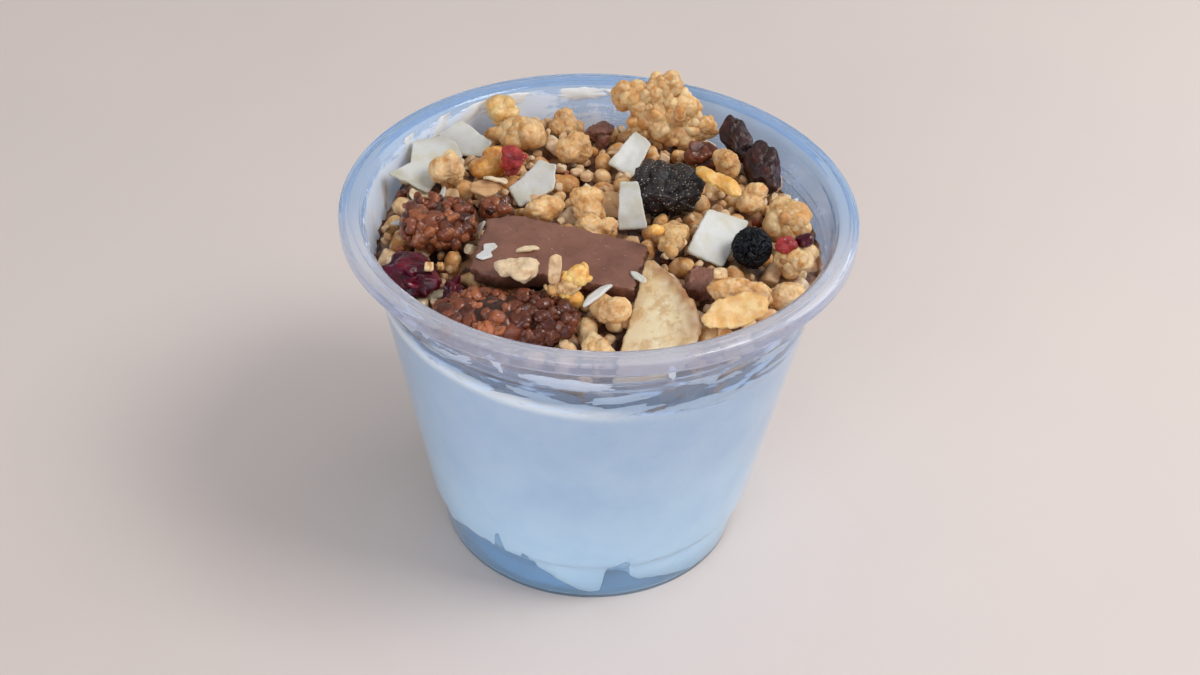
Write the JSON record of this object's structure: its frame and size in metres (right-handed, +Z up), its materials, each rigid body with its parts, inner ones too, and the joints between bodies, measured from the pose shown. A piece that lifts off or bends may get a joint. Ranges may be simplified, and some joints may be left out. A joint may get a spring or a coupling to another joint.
{
  "type": "cup of yogurt with muesli",
  "caption": "Clear plastic tumbler filled with white yogurt, topped with a heap of muesli with chocolate, coconut flakes, banana chip, nuts and dried fruit.",
  "frame": {"origin": "middle of the foot ring's flat underside, on the surface the cup stands on", "axes": "+Z up along the cup's axis, -Y towards the side with the banana chip that the picture shows, +X to its right"},
  "size_m": [0.095, 0.095, 0.0827],
  "materials": {
    "clear_plastic": "clear, slightly milky blue-white PET, glossy",
    "yogurt": "smooth white yogurt, moist",
    "muesli": "loose golden grain, nut and oat pieces, dry",
    "baked_oat": "baked golden oat and puffed grain, lightly glazed",
    "cocoa_cluster": "brown cocoa puffs stuck together with glaze",
    "chocolate": "milk chocolate, matte with scuffs",
    "coconut": "white coconut flake, slightly translucent",
    "banana_chip": "pale dried banana with toasted edge",
    "cranberry": "dark red dried cranberry, wrinkled and glossy",
    "raisin": "dark brown raisin, wrinkled",
    "dark_fruit": "black dried fruit, wrinkled, with sugar grains",
    "blueberry": "blue-black dried berry with a net of wrinkles",
    "raspberry": "freeze-dried red fruit, grainy",
    "mango": "orange-yellow dried fruit",
    "corn_flake": "yellow toasted flake"
  },
  "bodies": {
    "root": {"cup": "clear_plastic", "yogurt": "yogurt", "muesli": "muesli", "banana_chip": "banana_chip", "blueberry": "blueberry", "chocolate_bar": "chocolate", "chocolate_chunk_back": "cocoa_cluster", "chocolate_chunk_far": "chocolate", "chocolate_chunk_right": "chocolate", "cocoa_bits_middle": "cocoa_cluster", "cocoa_cluster_front": "cocoa_cluster", "cocoa_cluster_left": "cocoa_cluster", "coconut_back": "coconut", "coconut_center": "coconut", "coconut_left": "coconut", "coconut_left_back": "coconut", "coconut_mid": "coconut", "coconut_right": "coconut", "corn_flake": "corn_flake", "cranberry_large": "cranberry", "cranberry_small": "cranberry", "dark_fruit": "dark_fruit", "fruit_lump_left": "mango", "mango_stick": "mango", "nut_lump_back": "baked_oat", "nut_lump_center_a": "baked_oat", "nut_lump_center_b": "baked_oat", "nut_lump_center_c": "baked_oat", "nut_lump_far": "baked_oat", "nut_lump_front_a": "baked_oat", "nut_lump_front_b": "baked_oat", "nut_lump_front_middle": "baked_oat", "nut_lump_left": "baked_oat", "nut_lump_middle": "baked_oat", "nut_lump_right": "baked_oat", "nut_lump_right_back": "baked_oat", "oat_cluster_back": "baked_oat", "oat_cluster_back_left": "baked_oat", "oat_cluster_front": "baked_oat", "oat_cluster_front_right": "baked_oat", "oat_cluster_middle": "baked_oat", "oat_cluster_right": "baked_oat", "oat_flake_back_left": "baked_oat", "oat_flake_front": "baked_oat", "oat_flakes_front": "baked_oat", "raisin_a": "raisin", "raisin_b": "raisin", "raspberry_bit": "raspberry"}
  },
  "joints": []
}
